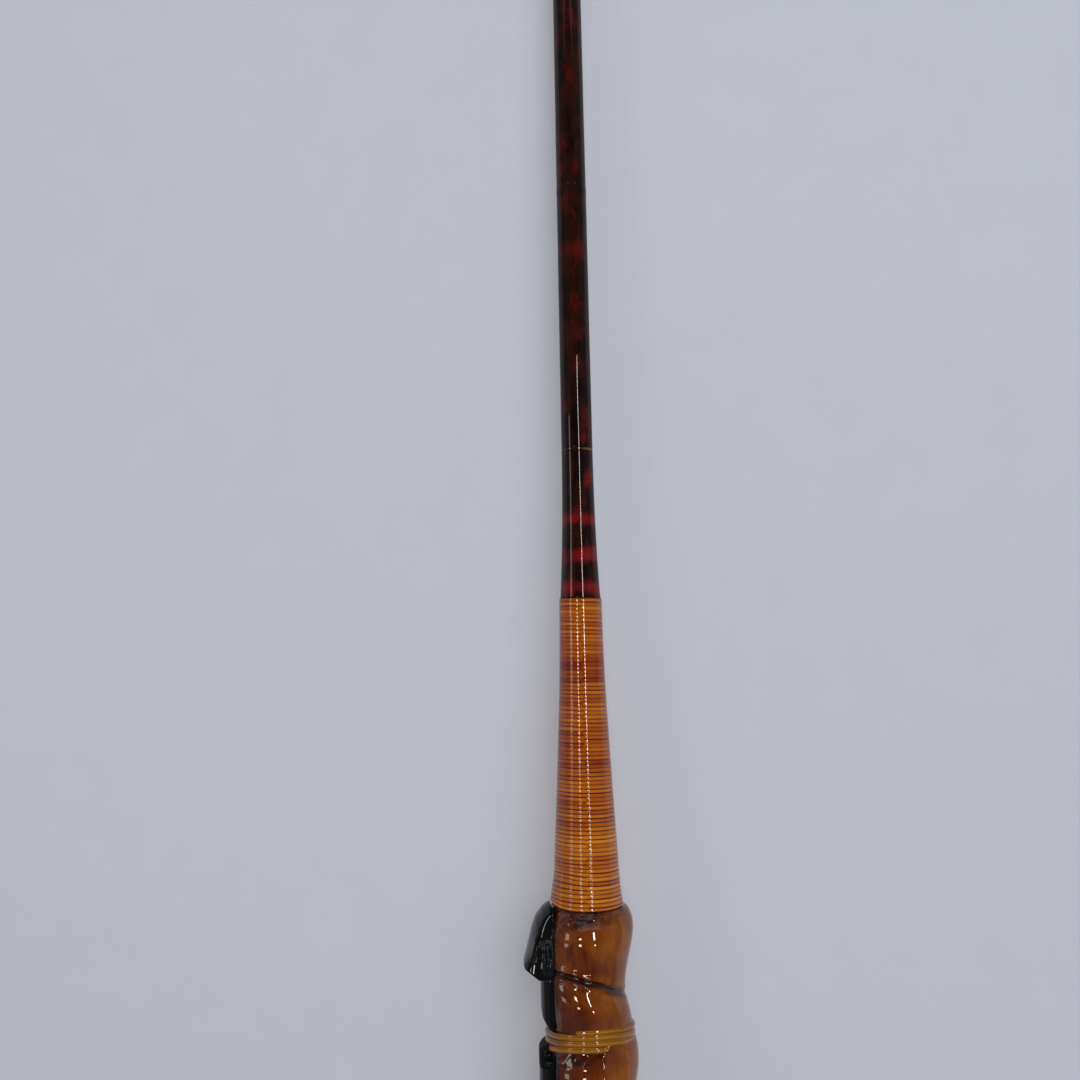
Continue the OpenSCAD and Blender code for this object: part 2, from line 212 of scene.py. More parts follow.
class Paint:
    """A material's node tree, with short calls for the nodes used here."""

    def __init__(self, name):
        self.material = bpy.data.materials.new(name)
        self.material.use_nodes = True
        self.tree = self.material.node_tree
        self.shader = self.tree.nodes["Principled BSDF"]
        self.coords = self.tree.nodes.new("ShaderNodeTexCoord").outputs["Object"]

    def put(self, kind, **settings):
        node = self.tree.nodes.new(kind)
        for key, value in settings.items():
            setattr(node, key, value)
        return node

    def link(self, source, target):
        self.tree.links.new(source, target)

    def fill(self, socket, value):
        if isinstance(value, bpy.types.NodeSocket):
            self.link(value, socket)
        else:
            socket.default_value = value

    def stretched(self, scale):
        node = self.put("ShaderNodeMapping")
        node.inputs["Scale"].default_value = scale
        self.link(self.coords, node.inputs["Vector"])
        return node.outputs["Vector"]

    def noise(self, scale, stretch=(1, 1, 1), detail=3.0, rough=0.5, warp=0.0):
        node = self.put("ShaderNodeTexNoise")
        self.link(self.stretched(stretch), node.inputs["Vector"])
        node.inputs["Scale"].default_value = scale
        node.inputs["Detail"].default_value = detail
        node.inputs["Roughness"].default_value = rough
        node.inputs["Distortion"].default_value = warp
        return node.outputs["Fac"]

    def value(self, name):
        return self.put("ShaderNodeAttribute", attribute_name=name).outputs["Fac"]

    def axis(self, name):
        node = self.put("ShaderNodeSeparateXYZ")
        self.link(self.coords, node.inputs[0])
        return node.outputs[name]

    def ramp(self, source, low, high, out_low=0.0, out_high=1.0, smooth=True):
        node = self.put("ShaderNodeMapRange", interpolation_type="SMOOTHSTEP" if smooth else "LINEAR")
        for key, value in zip(("Value", "From Min", "From Max", "To Min", "To Max"),
                              (source, low, high, out_low, out_high)):
            self.fill(node.inputs[key], value)
        return node.outputs["Result"]

    def math(self, operation, a, b=0.0):
        node = self.put("ShaderNodeMath", operation=operation)
        self.fill(node.inputs[0], a)
        self.fill(node.inputs[1], b)
        return node.outputs[0]

    def blend(self, factor, a, b):
        node = self.put("ShaderNodeMix", data_type="RGBA")
        self.fill(node.inputs[0], factor)
        for socket, colour in ((node.inputs[6], a), (node.inputs[7], b)):
            self.fill(socket, (*colour, 1) if isinstance(colour, tuple) else colour)
        return node.outputs[2]

    def bump(self, height, strength, distance):
        node = self.put("ShaderNodeBump")
        node.inputs["Strength"].default_value = strength
        node.inputs["Distance"].default_value = distance
        self.link(height, node.inputs["Height"])
        return node.outputs["Normal"]

    def spread(self, source, amount):
        """A noise's distance from its middle, times an amount."""
        return self.math("MULTIPLY", self.math("SUBTRACT", source, 0.5), amount)

    def finish(self, colour, roughness, normal=None, coat=1.0, coat_roughness=0.03, coat_normal=None,
               metallic=0.0, specular=0.0):
        self.fill(self.shader.inputs["Base Color"], (*colour, 1) if isinstance(colour, tuple) else colour)
        self.fill(self.shader.inputs["Roughness"], roughness)
        self.shader.inputs["Coat Weight"].default_value = coat
        self.shader.inputs["Coat Roughness"].default_value = coat_roughness
        self.shader.inputs["Metallic"].default_value = metallic
        self.shader.inputs["Specular IOR Level"].default_value = specular
        if normal is not None:
            self.link(normal, self.shader.inputs["Normal"])
        if coat_normal is not None:
            self.link(coat_normal, self.shader.inputs["Coat Normal"])
        return self.material


def mottled_lacquer():
    """Deep, nearly black lacquer over soft red blotches, brighter on the flare."""
    p = Paint("mottled_lacquer")
    near_flare = p.ramp(p.axis("X"), -0.372, -0.335)
    cloud = p.noise(300, (0.5, 1, 1), 3, 0.6, 0.6)
    fine = p.noise(800, (0.7, 1, 1), 3, 0.6)
    ragged = p.math("ADD", p.math("MULTIPLY", cloud, 0.75), p.math("MULTIPLY", fine, 0.25))
    red_amount = p.ramp(p.math("ADD", p.value("red"), p.spread(ragged, 3.0)), 0.1, 1.1)
    depth = p.ramp(p.noise(260, (0.4, 1, 1), 3), 0.35, 0.65)
    ground = p.blend(depth, (0.0055, 0.0022, 0.0018), (0.02, 0.0052, 0.0034))
    red = p.blend(near_flare, (0.07, 0.0052, 0.0036), (0.155, 0.0062, 0.0078))
    coat_normal = p.bump(p.noise(90, (0.5, 1, 1), 2), 0.12, 0.0006)
    return p.finish(p.blend(red_amount, ground, red), 0.35, coat=0.5, coat_roughness=0.04,
                    coat_normal=coat_normal)


def whipping_lacquer():
    """Fine thread under nearly black lacquer."""
    p = Paint("whipping_lacquer")
    wave = p.put("ShaderNodeTexWave", wave_type="BANDS", bands_direction="X", wave_profile="SIN")
    p.link(p.coords, wave.inputs["Vector"])
    wave.inputs["Scale"].default_value = 560
    wave.inputs["Distortion"].default_value = 0.6
    wave.inputs["Detail"].default_value = 1
    thread = wave.outputs["Fac"]
    patches = p.ramp(p.noise(190, (1.5, 0.6, 0.6), 2.5), 0.45, 0.62)
    colour = p.blend(patches, (0.012, 0.0045, 0.004), (0.09, 0.006, 0.005))
    return p.finish(colour, 0.35, p.bump(thread, 0.5, 0.00012), coat_roughness=0.05,
                    coat_normal=p.bump(thread, 0.25, 0.0001))


def rattan(name, dark, middle, light, gap_shade_colour):
    """Varnished cane. The mesh gives each place how light the cane is, with some painted highlight and
    painted shade in it, and how deep in a gap it lies, which is painted as shade.
    """
    p = Paint(name)
    fibre = p.noise(900, (3.2, 0.12, 0.12), 3, 0.6)
    cloud = p.noise(190, (1, 0.6, 0.6), 3, 0.6)
    tone_with_painted_light = p.math("ADD", p.value("tone_and_painted_light"), p.spread(fibre, 0.55))
    tone_with_painted_light = p.math("ADD", tone_with_painted_light, p.spread(cloud, 0.5))
    colour = p.blend(p.ramp(tone_with_painted_light, 0.0, 0.5, smooth=False), dark, middle)
    colour = p.blend(p.ramp(tone_with_painted_light, 0.5, 1.0, smooth=False), colour, light)
    # Painted shade: darker in the gaps between turns and along the strands' edges
    colour = p.blend(p.ramp(p.value("gap"), 0.1, 0.95), colour, gap_shade_colour)
    coat_normal = p.bump(p.noise(700, (1, 0.4, 0.4), 2), 0.12, 0.0003)
    return p.finish(colour, 0.3, p.bump(fibre, 0.25, 0.0002), coat_roughness=0.04,
                    coat_normal=coat_normal)


def bamboo_root():
    """Amber to red-brown bamboo under thick varnish, with black lacquer feathered in at the seat."""
    p = Paint("bamboo_root")
    cloud = p.noise(75, (1.1, 1, 1), 4, 0.55, 0.6)
    fibre = p.noise(650, (0.07, 1.5, 1.5), 3, 0.6)
    mottle = p.noise(280, (0.6, 1, 1), 4, 0.65)
    tone_with_painted_light = p.math("ADD", cloud, p.spread(mottle, 0.35))
    tone_with_painted_light = p.math("ADD", tone_with_painted_light, p.spread(fibre, 0.2))
    # Painted light and shade: darker on the seat side, lighter towards +Y
    tone_with_painted_light = p.math("ADD", tone_with_painted_light, p.ramp(p.axis("Y"), -0.009, 0.012, -0.08, 0.13))
    colour = p.blend(p.ramp(tone_with_painted_light, 0.3, 0.52), (0.075, 0.0115, 0.002), (0.155, 0.034, 0.0035))
    colour = p.blend(p.ramp(tone_with_painted_light, 0.5, 0.75), colour, (0.24, 0.066, 0.0045))
    # Darker red-brown where the mesh's red value is high: partly the root's own colour, partly painted
    # shade low on each length
    colour = p.blend(p.math("MULTIPLY", p.value("red"), 0.75), colour, (0.085, 0.011, 0.004))
    in_joint = p.math("MULTIPLY", p.ramp(p.value("joint"), 0.05, 0.9), 0.9)
    colour = p.blend(in_joint, colour, (0.014, 0.0035, 0.002))
    # Black lacquer beside the carved flat, between the flat's two ends
    wander = p.spread(p.noise(160, (1, 1, 1), 3), 0.003)
    beside = p.ramp(p.math("ADD", p.axis("Y"), wander), -0.0119, -0.0102, 1.0, 0.0)
    tip_end = p.ramp(p.axis("X"), -0.206, -0.203)
    butt_end = p.ramp(p.axis("X"), -0.074, -0.066, 1.0, 0.0)
    black = p.math("MULTIPLY", beside, p.math("MULTIPLY", tip_end, butt_end))
    colour = p.blend(black, colour, (0.0035, 0.0032, 0.0035))
    return p.finish(colour, 0.4, p.bump(fibre, 0.08, 0.0003), coat_roughness=0.04,
                    coat_normal=p.bump(p.noise(130, (1, 1, 1), 2.5), 0.1, 0.0008))


def black_lacquer():
    p = Paint("black_lacquer")
    colour = p.blend(p.noise(240, (1, 1, 1), 3), (0.0028, 0.0028, 0.0034), (0.0075, 0.0062, 0.007))
    rough = p.ramp(p.noise(500, (1, 1, 1), 3), 0.3, 0.7, 0.12, 0.24)
    return p.finish(colour, rough, coat=0.8, coat_roughness=0.05,
                    coat_normal=p.bump(p.noise(160, (1, 1, 1), 2), 0.08, 0.0008))


def black_filler():
    """The same lacquer where it was only wiped on."""
    return Paint("black_filler").finish((0.004, 0.0038, 0.004), 0.4, coat=0.2, coat_roughness=0.15)


def seam_thread():
    p = Paint("seam_thread")
    colour = p.blend(p.ramp(p.axis("Y"), 0.0005, 0.0035), (0.016, 0.005, 0.003), (0.13, 0.05, 0.018))
    return p.finish(colour, 0.4, p.bump(p.noise(2500, (3, 0.3, 0.3), 2), 0.3, 0.0001), coat_roughness=0.05)


def raw_wood():
    p = Paint("raw_wood")
    grain = p.noise(400, (0.06, 1, 1), 4, 0.6, 0.3)
    colour = p.blend(p.ramp(grain, 0.35, 0.65), (0.3, 0.17, 0.08), (0.5, 0.33, 0.18))
    return p.finish(colour, 0.65, p.bump(grain, 0.3, 0.0002), coat=0.0, specular=0.3)


def brass():
    p = Paint("brass")
    scratch = p.noise(1800, (1, 0.1, 1), 3, 0.6)
    colour = p.blend(scratch, (0.52, 0.34, 0.12), (0.72, 0.52, 0.24))
    return p.finish(colour, p.ramp(scratch, 0.3, 0.7, 0.22, 0.4), coat=0.0, metallic=1.0, specular=0.5)


LACQUER = mottled_lacquer()
WHIPPING = whipping_lacquer()
# Cane colours: dark, middle, light, and the painted shade in the gaps
RATTAN = rattan("rattan", (0.18, 0.015, 0.001), (0.4, 0.09, 0.004), (0.56, 0.19, 0.011),
                (0.075, 0.0045, 0.0005))
PALE_RATTAN = rattan("pale_rattan", (0.1, 0.027, 0.001), (0.22, 0.073, 0.002), (0.38, 0.165, 0.015),
                     (0.03, 0.006, 0.0006))
BAMBOO = bamboo_root()
BLACK = black_lacquer()
FILLER = black_filler()
THREAD = seam_thread()
RAW = raw_wood()
BRASS = brass()


def dress(piece, material):
    piece.data.materials.clear()
    piece.data.materials.append(material)


# --- Shaft and sleeve ----------------------------------------------------------------------------

SIDES = 72
RING_STEP = 0.45
rng = random.Random(7)
# Small nibs in the lacquer: height, angle, width, rise
NIBS = [(446.5, -10, 0.5, 0.07), (421.5, -2, 0.4, 0.04), (398.5, -6, 0.4, 0.05), (393, 7, 0.5, 0.06)]
NIBS += [(rng.uniform(310, 640), rng.uniform(40, 320), rng.uniform(0.35, 0.6), rng.uniform(0.03, 0.06))
         for _ in range(26)]
# Soft red blotches: height, angle, half length, half width, strength
BLOTCHES = [(517, 8, 4.5, 2.2, 0.75), (471, -40, 4, 2, 0.7), (448.5, -30, 4, 1.8, 0.75),
            (431.5, 16, 3, 3.4, 1.0), (424, -8, 2.5, 2, 0.4), (412, 8, 5.5, 1.4, 0.7),
            (390, 14, 4, 1.8, 0.75), (374, -45, 3, 1.8, 0.7), (370.5, 45, 2.8, 1.8, 0.9),
            (363.5, 24, 1.8, 1.3, 0.9), (348.5, 40, 3.5, 1.6, 0.7)]
# Three that run all round the flare
BLOTCHES += [(334.5, 0, 1.8, 30, 1.0), (322, 0, 2.4, 30, 0.95), (310.5, 0, 2, 30, 0.9)]
BLOTCHES += [(rng.uniform(362, 648), rng.uniform(-180, 180), rng.uniform(2.5, 6), rng.uniform(1.2, 2.6),
              rng.uniform(0.3, 0.75)) for _ in range(90)]


def redness(height, angle):
    """How much red shows at one place of the lacquer."""
    red = 0.0
    for h, a, length, width, strength in BLOTCHES:
        if abs(height - h) < 2.2 * length:
            across = arc(turn_from(angle, a), SHAFT_R)
            red = max(red, strength * bell(height - h, 1.3 * length) * bell(across, 1.4 * width))
    return red


def paint_redness(piece):
    """Stores the red blotches on a lacquered piece."""
    values = []
    for v in piece.data.vertices:
        x, y, z = v.co / MM
        values.append(redness(-x, math.degrees(math.atan2(y, z))))
    paint(piece, "red", values)


def lacquered(height, angle, radius):
    """The shaft's radius with the slow waviness and the nibs of hand-laid lacquer."""
    r = radius + 0.035 * ripple(height, angle, 22) + 0.012 * ripple(height, angle, 6, 3)
    for h, a, width, rise in NIBS:
        if abs(height - h) < 2:
            across = arc(turn_from(angle, a), radius)
            if abs(across) < 2:
                r += rise * bell(math.hypot(height - h, across), width)
    return r


def make_shaft():
    """The shaft with its low bamboo joints, its socket and its tail inside the sleeve."""
    outside = smooth_line([(SLEEVE_TOP, SHAFT_R), (420, 5.42), (470, 5.28), (530, 5.12),
                           (596, TIP_R + 0.08), (STICK_LEN - WHIP_LEN, TIP_R)])
    joints = (455, 566)
    rings = []
    top = STICK_LEN - WHIP_LEN
    for h in steps(SLEEVE_TOP, top, RING_STEP):
        knot = sum(0.09 * bell(h - j, 1.4) - 0.05 * bell(h - j - 2.2, 0.9) for j in joints)
        rings.append([at(h, a, lacquered(h, a, outside(h)) + knot) for a in angles(SIDES)])
    whip_r = TIP_R - WHIP_T
    profile = [(top, whip_r), (STICK_LEN - 0.4, whip_r), (STICK_LEN, whip_r - 0.4),
               (STICK_LEN, SOCKET_R + 0.15), (STICK_LEN - 0.3, SOCKET_R),
               (STICK_LEN - SOCKET_DEPTH, SOCKET_R), (STICK_LEN - SOCKET_DEPTH, HOLLOW_R),
               (TAIL_END, HOLLOW_R), (TAIL_END, TAIL_R), (SLEEVE_TOP - 0.02, TAIL_R)]
    rings += turned_rings(profile, SIDES)
    piece = rings_object("shaft_lacquered", rings)
    paint_redness(piece)
    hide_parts("shaft")
    dress(piece, LACQUER)


def make_sleeve():
    """The flare, and the core that goes on under the winding."""
    seam = SLEEVE_TOP - SEAM_W - FIT
    outside = smooth_line(FLARE + [(seam, SHAFT_R)])
    rings = [[at(h, a, lacquered(h, a, outside(h))) for a in angles(SIDES)]
             for h in steps(FLARE[0][0] + 2 * FIT, seam, RING_STEP)]
    inner = TAIL_R + FIT
    under = [(seam, inner), (SHOULDER + FIT, inner)]
    under += [(max(h, SHOULDER + 2 * FIT), r - STRAND_T - FIT) for h, r in WRAP]
    rings += turned_rings(under, SIDES)
    piece = rings_object("taper_sleeve_lacquered", rings)
    paint_redness(piece)
    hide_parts("taper_sleeve")
    dress(piece, LACQUER)


# --- Rattan winding ------------------------------------------------------------------------------

def make_winding():
    """A long strand laid turn against turn. Varnish fills some of its valleys, the front hood's
    tang lifts the last turns, and the strand's hidden end raises a ridge under them."""
    low, high = WRAP[0][0], WRAP[-1][0]
    pitch = (high - low) / TURNS
    outside = smooth_line(WRAP)
    sides = 150
    rng = random.Random(11)
    turn_tone = [rng.uniform(-0.2, 0.2) for _ in range(TURNS + 4)]
    turn_gap = [rng.uniform(0.6, 1.0) for _ in range(TURNS + 4)]
    ridge_angle = -50
    lift_at = 213.5
    rings, tone_and_painted_light, gap = [], [], []
    for h in steps(low, high, pitch / 12):
        ring = []
        for a in angles(sides):
            off_ridge = turn_from(a, ridge_angle)
            off_seat = turn_from(a, SEAT_ANGLE)
            from_ridge = arc(off_ridge, outside(h))
            lift = 0.9 * bell(h - lift_at, 3.2) * bell(off_ridge, 38)
            phase = (h - low - lift) / pitch + a / 360 + 0.1 * ripple(h, a, 14, 5)
            k = max(0, min(TURNS + 2, math.floor(phase)))
            f = phase - math.floor(phase)
            bulge = max(0.0, 1 - abs(2 * f - 1) ** 2.6) ** 0.5
            # How open the valleys are: lacquer fills them towards the flare and at three places
            fill = mix(0.4, 1.0, ease((264 - h) / 45)) * (1 - 0.85 * bell(h - 293.8, 2.2))
            fill *= 1 - 0.5 * bell(h - 223.5, 1.6)
            fill *= 1 - 0.6 * bell(h - 209.5, 1.3) * ease((60 - abs(off_ridge - 25)) / 30)
            near = k if f < 0.5 else k + 1
            r = outside(h) - 0.36 * turn_gap[near] * fill * (1 - bulge) + 0.04 * ripple(h, a, 9, 8)
            r += 0.3 * bell(from_ridge, 0.6) * ease((212 - h) / 1.5)
            r += 0.45 * bell(off_seat, 26) * ease((216 - h) / 10)
            rise = 1.5 * bell(off_seat, 34) * ease((207 - h) / 4.6)
            ring.append(at(h + rise, a, r - 0.5 * ease((low + 0.5 - h) / 0.5)))
            along = (k + a / 360) * 0.9
            t = 0.5 + turn_tone[k] + 0.35 * noise.noise(Vector((along, 0, 4)))
            # Painted shade: darker on the side between the top and the seat
            t -= 0.16 * bell(off_seat - 30, 32)
            t += 0.22 * bell(h - 293.8, 3) - 0.3 * bell(h - 253, 4) - 0.28 * bell(h - 283, 6)
            t += 0.16 * ease((262 - h) / 34)
            # Painted highlight along the ridge over the strand's hidden end
            t += 0.3 * bell(from_ridge, 0.5) * ease((216 - h) / 4)
            t += 0.12 * bell(h - 223.5, 4) + 0.12 * bell(h - 209, 3) + 0.12 * bell(h - 303, 3)
            tone_and_painted_light.append(t)
            # Painted shade in the gaps between turns
            gap.append(ease((abs(2 * f - 1) - 0.34) / 0.56) * turn_gap[near] * mix(0.8, 1.0, fill))
        rings.append(ring)
    # The inner face gets a middle value and the gaps' painted shade
    for h, r in WRAP[::-1]:
        rings.append([at(h + (0.05 if h == low else 0), a, r - STRAND_T) for a in angles(sides)])
        tone_and_painted_light += [0.3] * sides
        gap += [0.8] * sides
    piece = rings_object("grip_winding_strand", rings)
    paint(piece, "tone_and_painted_light", tone_and_painted_light)
    paint(piece, "gap", gap)
    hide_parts("grip_winding")
    dress(piece, RATTAN)


# --- Root handle ---------------------------------------------------------------------------------

def joint_z(k, a):
    """Height of joint k on the side that faces angle a."""
    z, climb, lean, r = ROOT[k][:4]
    bow = BAND_BOW * max(0.0, math.cos(math.radians(a))) ** 2 if k == 2 else 0.0
    return z + climb * r * math.sin(math.radians(a - lean)) + bow


def part_of(z, a):
    """Which length of root holds height z on the side that faces angle a."""
    for k in range(len(SWELL) - 1):
        if z > joint_z(k + 1, a):
            return k
    return len(SWELL) - 1


# How much more each length of the root swells on the side that faces up
UPPER_SWELL = [0.55, 1.3, 1.0, 0.3, 0.3, 0.3, 0.2, 0.2, 0]
# How much lower the swelling is fullest there
UPPER_DROP = [0.2, 0.46, 0.36, 0.2, 0.2, 0.2, 0.2, 0.2, 0.2]


def root_surface(z, a):
    """Radius, shift along Y, and the distances from the joints above and below."""
    k = part_of(z, a)
    top, low = joint_z(k, a), joint_z(k + 1, a)
    t = max(0.0, min(1.0, (top - z) / (top - low)))
    facing = max(0.0, math.cos(math.radians(a)))
    swell = SWELL[k] * (top - low) / 22 + UPPER_SWELL[k] * facing
    r = mix(ROOT[k][3], ROOT[k + 1][3], ease(t))
    r += swell * math.sin(math.pi * t ** (0.5 + UPPER_DROP[k] * facing)) ** 2
    shift = mix(ROOT[k][4], ROOT[k + 1][4], ease(t))
    return r, shift, z - top, z - low


# How strongly root buds show below each joint
BUDS = [1.0, 0.12, 1.0, 0.25, 0.8, 0.2, 0.8, 0.3, 0.7, 0]
# How far below a joint its buds start: the third joint's lie below the band
BUD_START = [0, 0, 3.3, 0, 0, 0, 0, 0, 0]
# How deep the groove at each joint is
GROOVES = [0.3, 0.85, 0.4, 0.5, 0.45, 0.5, 0.45, 0.5, 0.4, 0.1]


def bud_height(k, below, along):
    """Two staggered rows of small round buds just below joint k."""
    spacing = 2.1
    rise = 0.0
    for row, centre in enumerate((1.1, 2.9)):
        cell = along / spacing + 0.5 * row
        for i in (math.floor(cell), math.floor(cell) + 1):
            chance = noise.cell(Vector((i * 3.7, row * 5.3, k * 7.1)))
            if chance > 0.38:
                du = (cell - i) * spacing + 0.5 * (chance - 0.6)
                dv = below - centre - 0.6 * (chance - 0.6)
                rise = max(rise, (0.25 + 0.3 * chance) * bell(math.hypot(du, dv), 0.62))
    return rise


def make_handle():
    """The root with its grooves, buds and furrows, its carved flat and its bore."""
    sides = 240
    low = ROOT[-1][0]
    rings, joint, red = [], [], []
    for z in steps(low, SHOULDER, 0.4):
        ring = []
        for a in angles(sides):
            r, shift, above, below = root_surface(z, a)
            k = part_of(z, a)
            turned = turn_from(a, 0)
            # Wandering grooves at both joints. The second joint's is deepest where it faces up
            cut = [GROOVES[k], GROOVES[k + 1]]
            above += 0.5 * ripple(7 * k, a, 5)
            below += 0.5 * ripple(7 * (k + 1), a, 5)
            for i in (0, 1):
                if k + i == 1:
                    cut[i] *= 0.3 + 0.95 * bell(turned + 14, 46)
            r -= 1.05 * cut[0] * bell(above, 0.75) + 1.05 * cut[1] * bell(below, 0.75)
            r += 0.5 * cut[1] * bell(below - 1.6, 0.7) + 0.3 * cut[0] * bell(above + 1.5, 0.6)
            # Below a joint with buds, a shallow step where the smooth rind starts again
            buds = BUDS[k] * (bell(turned + (5 if k == 0 else 18), 45) if k < 3 else 1)
            ledge = above + BUD_START[k]
            r -= 0.22 * buds * ease((ledge + 4.9) / 1.2)
            r += buds * bud_height(k, -ledge, math.radians(a) * r)
            r += 0.2 * ripple(z, a, 13) + 0.05 * ripple(z, a, 4, 9)
            r += 0.16 * buds * ease((ledge + 5) / 1.5) * ripple(z, a, 1.1, 2)
            # The third length has a furrow with a sharp bank beside it
            if k == 2:
                furrow = 0.3 * bell(turned - 14, 5) - 0.3 * bell(turned + 16, 18)
                r += furrow * ease(-above / 3 - 0.6)
            y = r * math.sin(math.radians(a)) + shift
            if FLAT_REAR < z and y < -FLAT_Y:
                y = mix(y, -FLAT_Y, ease((z - FLAT_REAR) / 6))
            ring.append(Vector((-z, y, r * math.cos(math.radians(a)))) * MM)
            dark = max(cut[0] * bell(above + 0.1, 1.05), cut[1] * bell(below - 0.1, 0.95)) * 1.6
            if k < 2:
                dark = max(dark, 0.95 * bell((above if k else below) + 0.5, 1.9) * ease((turned - 5) / 30))
            dark = max(dark, (0.7 + 0.7 * ripple(z, a, 1.6, 4)) * buds * ease((ledge + 5.0) / 1.4))
            joint.append(max(0.0, min(1.0, dark)))
            # Red: on the third length, a reddish hollow beside the furrow in the root's own colour; low on
            # each other length, a darker red-brown band where the surface dips, which is painted shade
            if k == 2:
                red.append(ease((above + 14) / 8) * ease((16 - turned) / 5))
            else:
                red.append(0.55 * bell(below - 6, 3.2) * bell(turned - 15, 50))
        rings.append(ring)
    # The bore for the shaft's tail and the hole for the cap's peg, joined by a hair-thin channel
    bore, peg, hair = TAIL_R + FIT, PEG_R + FIT, 0.02
    inside = [(SHOULDER, bore), (TAIL_END - 0.5, bore), (TAIL_END - 0.5, hair), (CAP_T + 15, hair),
              (CAP_T + 15, peg), (low, peg)]
    rings += turned_rings(inside, sides)
    joint += [0.3] * sides * len(inside)
    red += [0.0] * sides * len(inside)
    piece = rings_object("handle_root", rings)
    paint(piece, "joint", joint)
    paint(piece, "red", red)
    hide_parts("handle")
    dress(piece, BAMBOO)


# --- Rattan bands --------------------------------------------------------------------------------

# Height of a band's strand above the band's middle, by turns from its start
BAND_PATH = smooth_line([(0, 2.7), (0.32, 2.2), (0.81, 2.4), (1.07, 1.0), (1.32, 0.05), (1.81, 0.1),
                         (2.07, -0.95), (2.32, -1.95), (2.81, -2.3), (2.97, -2.45), (3.11, -3.2)])


def make_band(name, node, data, bow, start, seed):
    """One flat strand wound three times round the root. Its start is squeezed under the second
    turn, and its end is folded up under the turn before."""
    centre, climb, lean, inner = data
    fold_run = 11
    end = start + 360 * 3 + 40
    rng = random.Random(seed)
    sides = 22
    streaks = [rng.uniform(-0.3, 0.3) for _ in range(sides)]
    rows, tone_and_painted_light, gap = [], [], []
    for a in steps(start, end + fold_run, 2):
        turn = (a - start) / 360
        fold = ease((a - end) / fold_run)
        squeeze = 1 - ease(turn / 0.3)
        z = centre + BAND_PATH(turn) + 2.1 * fold + 0.1 * ripple(turn * 40, a, 9, seed)
        z += climb * inner * math.sin(math.radians(a - lean))
        z += bow * max(0.0, math.cos(math.radians(a))) ** 2
        middle = inner + BAND_T / 2 - 0.2 * squeeze + 0.06 * ripple(z, a, 7, seed + 3)
        middle += 1.4 * fold * (1 - fold)
        middle -= 0.9 * ease((start + 7 - a) / 7) + 0.9 * ease((a - end - 5) / 7)
        half_w = STRAND_W / 2 * (1 - 0.2 * squeeze) * (1 - 0.35 * fold)
        row = []
        for j in range(sides):
            c = 2 * math.pi * j / sides
            u, v = math.cos(c), math.sin(c)
            across = half_w * math.copysign(abs(u) ** 0.8, u)
            up = BAND_T / 2 * math.copysign(abs(v) ** 0.75, v)
            if v > 0:
                up += 0.05 * math.sin(7 * u + seed) * (1 - u * u)
            row.append(at(z + across, a, middle + up))
            # The fold is lighter: painted highlight
            tone_and_painted_light.append(0.55 + streaks[j] + 0.25 * noise.noise(Vector((a / 40, j * 0.7, seed)))
                        + 0.25 * fold)
            # Painted shade along the strand's edges and on its underside
            gap.append(max(0.0, abs(u) - 0.74) * 3.8 if v > -0.2 else 0.8)
        rows.append(row)
    piece = rings_object(name, rows, loop=False)
    paint(piece, "tone_and_painted_light", tone_and_painted_light)
    paint(piece, "gap", gap)
    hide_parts(node)
    dress(piece, PALE_RATTAN)


# --- Black pieces of the seat --------------------------------------------------------------------

def softened(name, node, body, voxel, passes, reshape=None):
    """A copy of a CAD node with the rounded edges of thick lacquer. A reshape function moves each
    vertex, given its place in millimetres and its normal."""
    piece = bpy.data.objects.new(name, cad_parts[node].data.copy())
    scene.collection.objects.link(piece)
    remesh = piece.modifiers.new("remesh", "REMESH")
    remesh.mode = "VOXEL"
    remesh.voxel_size = voxel * MM
    smooth = piece.modifiers.new("smooth", "SMOOTH")
    smooth.factor = 0.5
    smooth.iterations = passes
    graph = bpy.context.evaluated_depsgraph_get()
    made = bpy.data.meshes.new_from_object(piece.evaluated_get(graph))
    made.name = name
    piece.modifiers.clear()
    piece.data = made
    if reshape is not None:
        for v, n in zip(made.vertices, [v.normal.copy() for v in made.vertices]):
            v.co = reshape(v.co / MM, n) * MM
        work = bmesh.new()
        work.from_mesh(made)
        for _ in range(passes):
            bmesh.ops.smooth_vert(work, verts=work.verts, factor=0.5,
                                  use_axis_x=True, use_axis_y=True, use_axis_z=True)
        work.to_mesh(made)
        work.free()
    made.shade_smooth()
    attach(piece, body)
    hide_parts(node)
    dress(piece, BLACK)
    return piece


def plateau(x, half, soft):
    """1 within half of 0, falling to 0 over a soft edge."""
    return ease((half - abs(x)) / soft + 0.5)


# The front hood's back: height, distance from the stick's axis
HOOD_BACK = smooth_line([(179.9, 22.2), (184, 22), (189.5, 20.9), (195.4, 19.4), (199.2, 17.9),
                         (202.1, 15.6), (203.6, 13)])
HOOD_MOUTH = 179.9
HOOD_FLOOR = 16.9
HOOD_LIP = 22.2
# Top of the flute in its side walls: height, distance from the axis
FLUTE_TOP = 192.4
FLUTE_OUT = 14.0
# Middle of the window in its side walls
WINDOW_Z = 190.2
WINDOW_OUT = 17.9


def crown(p, low, base, half_width, amount):
    """Rounds a hood over its width. Away from the middle it gets lower, and above low also shorter."""
    pull = 1 - amount * min(1.0, abs(p.z) / half_width) ** 2.2
    height, out = -p.x, -p.y
    if out > base:
        out = base + (out - base) * pull
        if height > low:
            height = low + (height - low) * pull
    return Vector((-height, -out, p.z))


